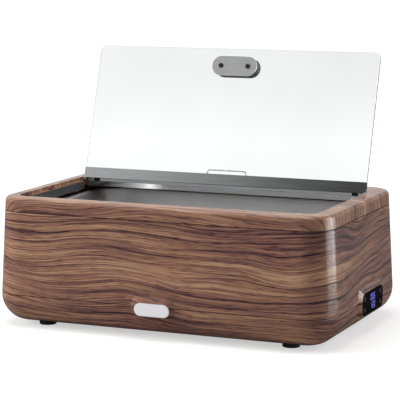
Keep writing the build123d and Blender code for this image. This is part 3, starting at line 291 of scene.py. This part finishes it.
# Blue-violet lamps behind a diffuser: the strokes glow a little unevenly, in patches of 3 mm.
lit, tree, shader, place = finish_of("lit_violet_segments")
glow = put(tree, "ShaderNodeTexNoise", {"Vector": place, "Scale": 300.0, "Detail": 1.0})
shade = put(tree, "ShaderNodeValToRGB", [glow], stops=[(0.3, "#5f5cf4"), (0.7, "#9a9aff")])
join(tree, shader, {"Emission Color": shade, "Emission Strength": 1.0, "Base Color": linear("#2a2750")})
dress(lit, "lit_digit", "display_digits")

# Screen-printed ink: a flat mid grey, a little uneven over 1 mm, as a mesh leaves it.
ink = shaded("screen_printed_grey", 900.0, 2.0, ("#4c4d58", "#5f606c"), 0.35)[0]
dress(ink, "touch_mark", "touch_marks")

# Glass-filled nylon and phenolic, moulded: dull black with a spark-eroded grain of 0.8 mm.
nylon = shaded("moulded_black_nylon", 1200.0, 2.0, ("#1c1c1d", "#2a2a2c"), (0.42, 0.55), (0.15, 0.0001))[0]
dress(nylon, "black_plastic", "display_module", "control_posts", "power_inlet", "thermal_cutout")

# Circuit board under green solder mask, with the faint pattern of its tracks, 4 mm apart.
board, tree, shader, place = finish_of("green_coated_board")
tracks = put(tree, "ShaderNodeTexVoronoi", {"Vector": place, "Scale": 240.0}, distance="MANHATTAN")
shade = put(tree, "ShaderNodeValToRGB", [tracks], stops=[(0.2, "#1f5a3a"), (0.6, "#153f2a")])
join(tree, shader, {"Base Color": shade, "Roughness": 0.4})
dress(board, "circuit_board", "control_board", "power_board")

# Brass under nickel plate: warm pale metal, smooth, its tone changing over 3 mm.
brass = shaded("nickel_plated_brass", 300.0, 3.0, ("#b7ab8c", "#cdc3a6"), 0.28, metallic=1.0)[0]
dress(brass, "inlet_brass", "inlet_pins", "temperature_probe")

# The well and what heats it: a deep-drawn stainless well, a sheathed element pressed up under it, and a
# bright aluminium tray below that turns the heat back.

# Deep-drawn stainless: satin grey with drawing marks 1 mm wide that run up the walls.
drawn = shaded("drawn_stainless", (900.0, 900.0, 30.0), 3.0, ("#8f9092", "#a9aaac"), (0.3, 0.42),
               metallic=1.0)[0]
dress(drawn, "well_stainless", "water_well")

# A steel sheath that has been hot: brown-grey with straw and blue tints every 40 mm.
sheath = shaded("heat_tinted_sheath", 26.0, 3.0, ("#5a5048", "#6e5b46", "#4c4f5c"), 0.45, metallic=1.0)[0]
dress(sheath, "heater_steel", "heating_element")

# Bright rolled aluminium: pale, with rolling lines 1.4 mm wide along its length.
aluminium = shaded("rolled_aluminium", (12.0, 700.0, 700.0), 3.0, ("#c3c4c6", "#d6d7d8"), 0.25,
                   metallic=1.0)[0]
dress(aluminium, "bright_aluminium", "heat_shield")

# The food pan: a standard full-size pan pressed from stainless sheet, its edge turned down all round,
# and polished satin after pressing. It hangs by its flange in the well. Geometry Nodes press it from a
# section: each point of the section becomes a rounded rectangle, further in and with its own corner.

pan_flange = 0.012
pan_lip = 0.003
pan_height = 0.065
pan_taper = 0.010           # each side of the floor is this much further in than the mouth
flange_corner = 0.030       # the flange's outer corners, which are squarer than the mouth's
mouth_corner = 0.052
mouth_round = 0.0008
edge_round = 0.0010         # where the flange turns down
floor_round = 0.012
foot_run = 0.86             # part of that radius from the wall's foot in to the round's centre line
pan_steel = 0.001
weld_gap = 0.000005         # points nearer than this are one
crease = 38.0               # degrees between two faces, past which their edge looks sharp


def open_tree(name, sizes):
    """A new Geometry Nodes tree with named inputs for its sizes, and those inputs by name."""
    tree = bpy.data.node_groups.new(name, "GeometryNodeTree")
    tree.interface.new_socket("Geometry", in_out="INPUT", socket_type="NodeSocketGeometry")
    for size, kind, value in sizes:
        socket = tree.interface.new_socket(size, in_out="INPUT", socket_type="NodeSocket" + kind)
        if value is not None:
            socket.default_value = value
    tree.interface.new_socket("Geometry", in_out="OUTPUT", socket_type="NodeSocketGeometry")
    return tree, {socket.name: socket for socket in put(tree, "NodeGroupInput").outputs}


rings, known = open_tree("rings_from_section", (
    ("Length", "Float", 0.5), ("Width", "Float", 0.3), ("Corner steps", "Int", 8), ("Count", "Int", 1),
    ("Pitch", "Float", 0.0), ("Tilt", "Float", 0.0), ("Place", "Vector", None), ("Finish", "Material", None)))
known["rows"] = put(rings, "GeometryNodeAttributeDomainSize", [known["Geometry"]], component="MESH")
known["index"] = put(rings, "GeometryNodeInputIndex")
# Each point of the grid finds its column, which is its place round the rectangle, and its row, which is
# its point of the section. The halves keep a whole number from being rounded down to the one before.
for name, operation, *terms in (
        ("corner points", "ADD", "Corner steps", 1.0),
        ("columns", "MULTIPLY_ADD", "corner points", 4.0, 1.0),
        ("mid index", "ADD", "index", 0.5),
        ("columns passed", "DIVIDE", "mid index", "rows"),
        ("column", "FLOOR", "columns passed"),
        ("column start", "MULTIPLY", "column", "rows"),
        ("row", "SUBTRACT", "index", "column start"),
        ("mid column", "ADD", "column", 0.5),
        ("corners passed", "DIVIDE", "mid column", "corner points"),
        ("quarter", "FLOOR", "corners passed"),
        ("quarter start", "MULTIPLY", "quarter", "corner points"),
        ("step", "SUBTRACT", "column", "quarter start"),
        ("part turn", "DIVIDE", "step", "Corner steps"),
        ("turn", "ADD", "quarter", "part turn"),
        ("angle", "MULTIPLY", "turn", math.pi / 2),
        ("mid quarter", "ADD", "quarter", 0.5),
        ("corner angle", "MULTIPLY", "mid quarter", math.pi / 2),
        ("gaps", "SUBTRACT", "Count", 1.0),
        ("spread", "MULTIPLY", "gaps", "Pitch"),
        ("first", "MULTIPLY", "spread", -0.5)):
    known[name] = put(rings, "ShaderNodeMath", [known.get(term, term) for term in terms],
                      operation=operation)
on_section = put(rings, "GeometryNodeSampleIndex", {
    "Geometry": known["Geometry"], "Index": known["row"], "Value": put(rings, "GeometryNodeInputPosition")},
    data_type="FLOAT_VECTOR")
known["inset"], known["corner"], height = put(rings, "ShaderNodeSeparateXYZ", [on_section]).outputs
# Along each axis a corner's centre is half the size less the inset and the corner, and the bow goes
# round it.
for reached, size, share in (("x", "Length", "COSINE"), ("y", "Width", "SINE")):
    for name, operation, *terms in (
            ("way", share, "corner angle"),
            ("side", "SIGN", "way"),
            ("less inset", "MULTIPLY", "inset", -1.0),
            ("reach", "MULTIPLY_ADD", size, 0.5, "less inset"),
            ("straight", "SUBTRACT", "reach", "corner"),
            ("arc", share, "angle"),
            ("bow", "MULTIPLY", "arc", "corner"),
            (reached, "MULTIPLY_ADD", "side", "straight", "bow")):
        known[name] = put(rings, "ShaderNodeMath", [known.get(term, term) for term in terms],
                          operation=operation)
grid = put(rings, "GeometryNodeMeshGrid", {"Vertices X": known["columns"], "Vertices Y": known["rows"]})
spot = put(rings, "ShaderNodeCombineXYZ", [known["x"], known["y"], height])
skin = put(rings, "GeometryNodeSetPosition", {"Geometry": grid, "Position": spot})
skin = put(rings, "GeometryNodeMergeByDistance", {"Geometry": skin, "Distance": weld_gap})
skin = put(rings, "GeometryNodeSetShadeSmooth", {"Geometry": skin, "Shade Smooth": True})
line = put(rings, "GeometryNodeMeshLine", {
    "Count": known["Count"], "Start Location": put(rings, "ShaderNodeCombineXYZ", [known["first"]]),
    "Offset": put(rings, "ShaderNodeCombineXYZ", [known["Pitch"]])})
each = put(rings, "GeometryNodeInstanceOnPoints", {"Points": line, "Instance": skin})
leaning = put(rings, "ShaderNodeCombineXYZ", [known["Tilt"]])
moved = put(rings, "GeometryNodeTransform",
            {"Geometry": each, "Rotation": leaning, "Translation": known["Place"]})
whole = put(rings, "GeometryNodeRealizeInstances", {"Geometry": moved})
whole = put(rings, "GeometryNodeSetMaterial", {"Geometry": whole, "Material": known["Finish"]})
put(rings, "NodeGroupOutput", [whole])


def grown(name, points, edges, tree, sizes, sheet=None):
    """Runs a node tree on a few points, gives a sheet its thickness, and keeps the result as plain mesh."""
    seed = bpy.data.meshes.new(name + "_seed")
    seed.from_pydata(points, edges, [])
    grower = bpy.data.objects.new(name + "_seed", seed)
    bpy.context.scene.collection.objects.link(grower)
    nodes = grower.modifiers.new("nodes", "NODES")
    nodes.node_group = tree
    for socket in tree.interface.items_tree:
        if socket.name in sizes:
            nodes[socket.identifier] = sizes[socket.name]
    if sheet:
        thick = grower.modifiers.new("sheet", "SOLIDIFY")
        thick.thickness = sheet
        thick.offset = -1.0
    bpy.context.view_layer.update()
    mesh = bpy.data.meshes.new_from_object(grower.evaluated_get(bpy.context.evaluated_depsgraph_get()))
    mesh.name = name
    mesh.set_sharp_from_angle(angle=math.radians(crease))
    made = bpy.data.objects.new(name, mesh)
    bpy.context.scene.collection.objects.link(made)
    grower.modifiers.clear()
    bpy.data.objects.remove(grower)
    bpy.data.meshes.remove(seed)
    return made


def bend(centre, radius, start, end, steps):
    """Points (in, up) round a bend of the section, with its angles in degrees."""
    turns = [math.radians(start + (end - start) * step / steps) for step in range(steps + 1)]
    return [(centre[0] + radius * math.cos(turn), centre[1] + radius * math.sin(turn)) for turn in turns]


# Satin stainless: pale grey metal, polished lengthwise in lines 1 mm wide, to a soft even shine that
# blurs what it mirrors.
satin = shaded("satin_stainless_sheet", (22.0, 900.0, 900.0), 3.0, ("#c6c6c7", "#d6d6d6"), (0.32, 0.42),
               metallic=1.0)[0]

low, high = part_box("food_pan")
length, width = high[0] - low[0], high[1] - low[1]
wall_lean = math.degrees(math.atan(pan_taper / (pan_height - pan_steel)))
floor_level = pan_steel - pan_height
round_centre = pan_flange + pan_taper + floor_round * foot_run
pan_section = [(0, -pan_lip)] + bend((edge_round, -edge_round), edge_round, 180, 90, 4)
pan_section += bend((pan_flange - mouth_round, -mouth_round), mouth_round, 90, wall_lean, 4)
pan_section += bend((round_centre, floor_level + floor_round), floor_round, 180 + wall_lean, 270, 8)
rounded = []
for depth, level in pan_section:
    over = depth - pan_flange
    corner = mouth_corner - over if over > -mouth_round else flange_corner
    rounded.append((depth, max(corner, 0.0), level))
rounded.append((width / 2, 0.0, floor_level))
pan = grown("food_pan_pressed", rounded, [], rings, {
    "Length": length, "Width": width, "Corner steps": 16,
    "Place": ((low[0] + high[0]) / 2, (low[1] + high[1]) / 2, high[2]), "Finish": satin}, sheet=pan_steel)
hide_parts("food_pan")
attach(pan, "food_pan")

# The hinge: a steel plate across the rear deck, the bent rail that clamps the glass, its ears, and the
# wire loop that stands behind. All are stainless, cut and bent from brushed strip and wire.

# Brushed stainless: grey metal whose lines, 0.9 mm wide, run along X and smear what it mirrors.
brushed = shaded("brushed_stainless_sheet", (14.0, 1100.0, 1100.0), 4.0, ("#b4b5b6", "#cbcccc"), (0.11, 0.18),
                 (0.12, 0.0001), metallic=1.0)[0]
dress(brushed, "brushed_stainless", "hinge_plate", "hinge_rail", "hinge_ears")

loop_wire = 0.00125
loop_bend = 0.006
bend_steps = 10
girth_steps = 20
wire, given = open_tree("bent_wire", (
    ("Wire radius", "Float", 0.001), ("Bend radius", "Float", 0.005), ("Finish", "Material", None)))
path = put(wire, "GeometryNodeMeshToCurve", {"Mesh": given["Geometry"]})
path = put(wire, "GeometryNodeFilletCurve", {
    "Curve": path, "Radius": given["Bend radius"], "Limit Radius": True, "Count": bend_steps}, mode="POLY")
girth = put(wire, "GeometryNodeCurvePrimitiveCircle",
            {"Resolution": girth_steps, "Radius": given["Wire radius"]})
rod = put(wire, "GeometryNodeCurveToMesh", {"Curve": path, "Profile Curve": girth, "Fill Caps": True})
rod = put(wire, "GeometryNodeSetShadeSmooth", {"Geometry": rod, "Shade Smooth": True})
rod = put(wire, "GeometryNodeRealizeInstances", {"Geometry": rod})
rod = put(wire, "GeometryNodeSetMaterial", {"Geometry": rod, "Material": given["Finish"]})
put(wire, "NodeGroupOutput", [rod])
low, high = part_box("wire_loop")
near_x, far_x, top_z = low[0] + loop_wire, high[0] - loop_wire, high[2] - loop_wire
mid_y = (low[1] + high[1]) / 2
ends = [(near_x, mid_y, low[2]), (near_x, mid_y, top_z), (far_x, mid_y, top_z), (far_x, mid_y, low[2])]
loop = grown("wire_loop_bent", ends, [(0, 1), (1, 2), (2, 3)], wire, {
    "Wire radius": loop_wire, "Bend radius": loop_bend, "Finish": brushed})
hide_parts("wire_loop")
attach(loop, "top_frame")

# The liner round the opening: thin steel sheet bent to an angle, coated dark and screwed up under the
# frame's ledge, so that the food's steam and heat don't reach the plastic.

# Dark satin coating: a flat charcoal with a soft broad shine and a spray grain of 0.7 mm.
coated = shaded("dark_coated_steel", 1500.0, 2.0, ("#2c2c2f", "#38383b"), 0.5)[0]
dress(coated, "dark_liner", "frame_liner")

# The hinge's two bushes, turned from acetal rod and pressed into the frame. The hinge pins run in them
# without grease.

# Turned acetal: milky white and slightly waxy, with turning marks 1.2 mm apart.
acetal = shaded("turned_acetal", 800.0, 2.0, ("#dcdad2", "#e8e6df"), 0.4)[0]
dress(acetal, "white_bush", "hinge_bushes")

# The lid: one pane of tempered glass, its front corners rounded and its edges ground and polished. Its
# back edge is clamped in the steel rail.

# Clear tempered glass: hardly any colour through the face, varying over 110 mm, and darker at its edge.
# Lamps shine through it, as they do through a thin pane, so it throws only a faint shadow.
pane, tree, shader = shaded("clear_tempered_glass", 9.0, 1.0, ("#eceeee", "#f0f1f1"), 0.0)
join(tree, shader, {"Transmission Weight": 1.0, "IOR": 1.45})
ray = put(tree, "ShaderNodeLightPath").outputs
open_way = put(tree, "ShaderNodeBsdfTransparent", [linear("#f2f4f4")])
glass_out = put(tree, "ShaderNodeMixShader", [ray["Is Shadow Ray"], shader, open_way])
join(tree, tree.nodes["Material Output"], {"Surface": glass_out})
dress(pane, "clear_glass", "lid_glass")

# The handle: a black grip outside the glass, screwed through it to an oval steel plate inside. The two
# screws have low round heads with a square recess, blackened, and go through the glass into the grip.
dress(nylon, "black_plastic", "handle_grip")
dress(satin, "brushed_stainless", "handle_plate")

# Blackened steel: oil-blackened after turning, dark grey with a low soft shine that varies over 2 mm.
blackened = shaded("blackened_steel", 500.0, 3.0, ("#3c3c3e", "#515153"), (0.32, 0.48), metallic=1.0)[0]

head_radius = 0.0046
head_top = -0.0024                                  # measured along the screw, from under its head
head_crown = [(0.0030, head_top), (0.0038, -0.00225), (0.0044, -0.0018), (head_radius, -0.0012)]
recess_half = 0.0017
recess_floor = -0.0010
recess_round = 0.0004
recess_edge = 0.0001
shank_radius = 0.0025
shank_length = 0.0171
tip_edge = 0.0004
screw_pitch = 0.052
lid_lean = math.radians(18.1)
handle_seat = (-0.0021, 0.1660075, 0.4320519)       # between the screws, on the plate's inner face
recess_in = head_radius - recess_half
screw_section = [(head_radius, 0.0, recess_floor), (recess_in, recess_round, recess_floor),
                 (recess_in, recess_round, head_top + recess_edge),
                 (recess_in - recess_edge, recess_round + recess_edge, head_top)]
turned = head_crown + [(head_radius, 0.0), (shank_radius, 0.0), (shank_radius, shank_length - tip_edge),
                       (shank_radius - tip_edge, shank_length), (0.0, shank_length)]
screw_section += [(head_radius - radius, radius, level) for radius, level in turned]
screws = grown("handle_screws_driven", screw_section, [], rings, {
    "Length": 2 * head_radius, "Width": 2 * head_radius, "Corner steps": 6, "Count": 2,
    "Pitch": screw_pitch, "Tilt": -math.pi / 2 - lid_lean, "Place": handle_seat, "Finish": blackened})
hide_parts("handle_screws")
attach(screws, "lid")

# The studio: a white paper floor that keeps the object's shadow, a surround that is bright behind and at
# the left and dark in front, as the steel shows it, and four soft lamps. One of them is only mirrored:
# it gives the bright band on the right front corner.

floor_half = 40.0
shadow_reach = (0.8, 2.6)       # the paper's own glow rises over these metres from the object's middle,
paper_glow = (0.53, 0.88)       # from the first value to the second, so that it is white at the horizon
floor_mesh = bpy.data.meshes.new("floor")
floor_mesh.from_pydata([(x * floor_half, y * floor_half, 0) for x, y in ((-1, -1), (1, -1), (1, 1), (-1, 1))],
                       [], [(0, 1, 2, 3)])
floor = bpy.data.objects.new("floor", floor_mesh)
bpy.context.scene.collection.objects.link(floor)

# Matt studio paper: white, with a faint mottle of 17 mm. The object's gloss shows it greyer than the
# camera does, because in the photograph the steel and the lacquer mirror a floor in shade.
floor_in_gloss = "#868686"
paper, tree, shader, place = finish_of("white_studio_paper")
fibre = put(tree, "ShaderNodeTexNoise", {"Vector": place, "Scale": 60.0, "Detail": 2.0})
shade = put(tree, "ShaderNodeValToRGB", [fibre], stops=[(0.3, "#c9c9c9"), (0.7, "#cbcbcb")])
ray = put(tree, "ShaderNodeLightPath").outputs
in_gloss = put(tree, "ShaderNodeMath", [ray["Is Glossy Ray"], ray["Is Transmission Ray"]],
               operation="GREATER_THAN")
dimmed = put(tree, "ShaderNodeMix", {0: in_gloss, 6: shade.outputs[0], 7: linear(floor_in_gloss)},
             data_type="RGBA")
seen = put(tree, "ShaderNodeMath", [ray["Is Camera Ray"], ray["Is Transmission Ray"]], operation="MAXIMUM")
away = put(tree, "ShaderNodeVectorMath", [place], operation="LENGTH").outputs["Value"]
rise = put(tree, "ShaderNodeMapRange", [away, *shadow_reach, *paper_glow])
paper_light = put(tree, "ShaderNodeMath", [seen, rise], operation="MULTIPLY")
join(tree, shader, {"Base Color": dimmed.outputs[2], "Roughness": 0.9, "Specular IOR Level": 0.1,
                    "Emission Color": (1, 1, 1, 1), "Emission Strength": paper_light})
floor.data.materials.append(paper)

# Each part of the surround that gloss shows: where it starts and ends, as a bearing or as the sine of a
# height, and its strength at each end.
left_card = (math.radians(-31), math.radians(-20), 0.80, 0.03)
ceiling = (0.75, 0.92, 0.0, 0.9)
low_glow = (0.24, 0.36, 0.60, 0.0)
soft_light = 0.20               # what the whole surround gives to the object's own colours
world = bpy.data.worlds.new("studio")
bpy.context.scene.world = world
world.use_nodes = True
tree = world.node_tree
ray = put(tree, "ShaderNodeLightPath").outputs
outward = put(tree, "ShaderNodeTexCoord").outputs["Generated"]
x, y, z = put(tree, "ShaderNodeSeparateXYZ", [outward]).outputs
ahead = put(tree, "ShaderNodeMath", [y, -1.0], operation="MULTIPLY")
bearing = put(tree, "ShaderNodeMath", [x, ahead], operation="ARCTAN2")
mirrored = put(tree, "ShaderNodeMapRange", [bearing, *left_card], interpolation_type="SMOOTHSTEP")
for part in (ceiling, low_glow):
    shown = put(tree, "ShaderNodeMapRange", [z, *part])
    mirrored = put(tree, "ShaderNodeMath", [mirrored, shown], operation="MAXIMUM")
lit_by = put(tree, "ShaderNodeMix", {0: ray["Is Glossy Ray"], 2: soft_light, 3: mirrored}, data_type="FLOAT")
seen = put(tree, "ShaderNodeMath", [ray["Is Camera Ray"], ray["Is Transmission Ray"]], operation="MAXIMUM")
strength = put(tree, "ShaderNodeMix", {0: seen, 2: lit_by, 3: 1.0}, data_type="FLOAT")
join(tree, tree.nodes["Background"], {"Color": (1, 1, 1, 1), "Strength": strength})

for name, spot, aim, size, power, lights_it, is_mirrored in (
        ("top_lamp", (-0.2, -0.3, 2.4), (0, 0, 0.1), (2.0, 1.6), 40, True, True),
        ("left_lamp", (-3.0, -1.6, 1.4), (0, 0, 0.15), (2.2, 2.0), 112, True, False),
        ("right_lamp", (2.4, 1.3, 1.3), (0.2, 0, 0.3), (1.4, 1.2), 34, True, False),
        ("corner_card", (1.03, 0.25, 0.46), (0.27, -0.15, 0.46), (0.74, 0.9), 17, False, True)):
    data = bpy.data.lights.new(name, "AREA")
    data.shape = "RECTANGLE"
    data.size, data.size_y = size
    data.energy = power
    lamp = bpy.data.objects.new(name, data)
    lamp.location = spot
    lamp.rotation_euler = (Vector(aim) - Vector(spot)).to_track_quat("-Z", "Y").to_euler()
    lamp.visible_camera = False
    lamp.visible_diffuse = lights_it
    lamp.visible_glossy = is_mirrored
    bpy.context.scene.collection.objects.link(lamp)

# The camera stands where the photograph was taken from, as fitted to the object's own edges: its place
# in metres, its bearing, height and roll in degrees, and its focal length in pixels of the photograph.
stand = Vector((1.23817, -2.87305, 0.68552))
azimuth, elevation, roll = (math.radians(angle) for angle in (23.2936, 8.6345, -0.12))
focal_pixels = 1819.88
picture_pixels = 400
film_width = 36.0
backward = Vector((math.sin(azimuth) * math.cos(elevation), -math.cos(azimuth) * math.cos(elevation),
                   math.sin(elevation)))
right = Vector((math.cos(azimuth), math.sin(azimuth), 0))
up = backward.cross(right)
right, up = right * math.cos(roll) + up * math.sin(roll), up * math.cos(roll) - right * math.sin(roll)
camera_data = bpy.data.cameras.new("camera")
camera_data.sensor_width = film_width
camera_data.lens = film_width * focal_pixels / picture_pixels
camera_data.clip_start = 0.1
camera_data.clip_end = 60.0
camera = bpy.data.objects.new("camera", camera_data)
camera.matrix_world = Matrix.Translation(stand) @ Matrix((right, up, backward)).transposed().to_4x4()
bpy.context.scene.collection.objects.link(camera)
bpy.context.scene.camera = camera
bpy.context.scene.view_settings.view_transform = "Standard"
